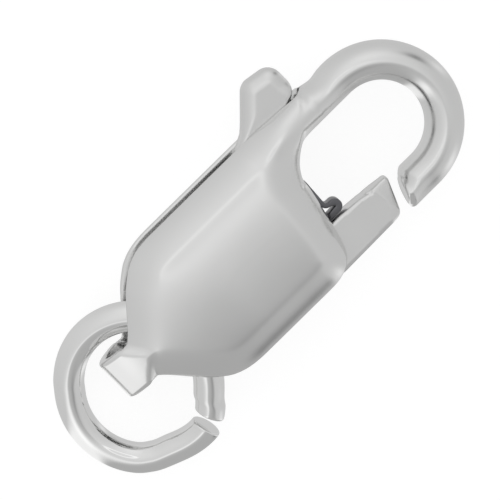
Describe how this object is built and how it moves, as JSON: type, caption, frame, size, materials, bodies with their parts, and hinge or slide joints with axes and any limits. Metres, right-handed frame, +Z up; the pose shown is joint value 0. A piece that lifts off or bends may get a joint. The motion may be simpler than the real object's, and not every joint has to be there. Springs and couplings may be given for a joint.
{
  "type": "lobster clasp with jump ring",
  "caption": "Folded sheet-metal lobster clasp with a round hook, a sprung lever gate with a thumb lug, and an open jump ring through its tail.",
  "frame": {"origin": "middle of the base of the box round the clasp and its ring, on the surface it lies on", "axes": "+X from the jump ring to the hook, +Y towards the thumb lug, +Z up from the surface"},
  "size_m": [0.0158, 0.0072, 0.003],
  "materials": {
    "body_silver": "polished silver, worn soft by tumbling, with small pits and scratches",
    "lever_silver": "tumbled silver, a little duller than the body",
    "pin_silver": "plain silver wire",
    "spring_steel": "dark blued spring leaf",
    "wire_silver": "bright drawn silver wire"
  },
  "bodies": {
    "clasp": {"body": "body_silver", "pivot_pin": "pin_silver", "spring": "spring_steel", "jump_ring": "wire_silver"},
    "lever": {"lever": "lever_silver"}
  },
  "joints": [
    {"name": "lever_pivot", "type": "hinge", "parent": "clasp", "child": "lever", "pos_m": [0.00054, -0.00099, 0.0015], "axis": [0, 0, 1], "range_deg": [0, 30], "stiffness_Nm_per_rad": 0.00002, "springref_deg": -22.92, "deforming": ["spring"]}
  ]
}
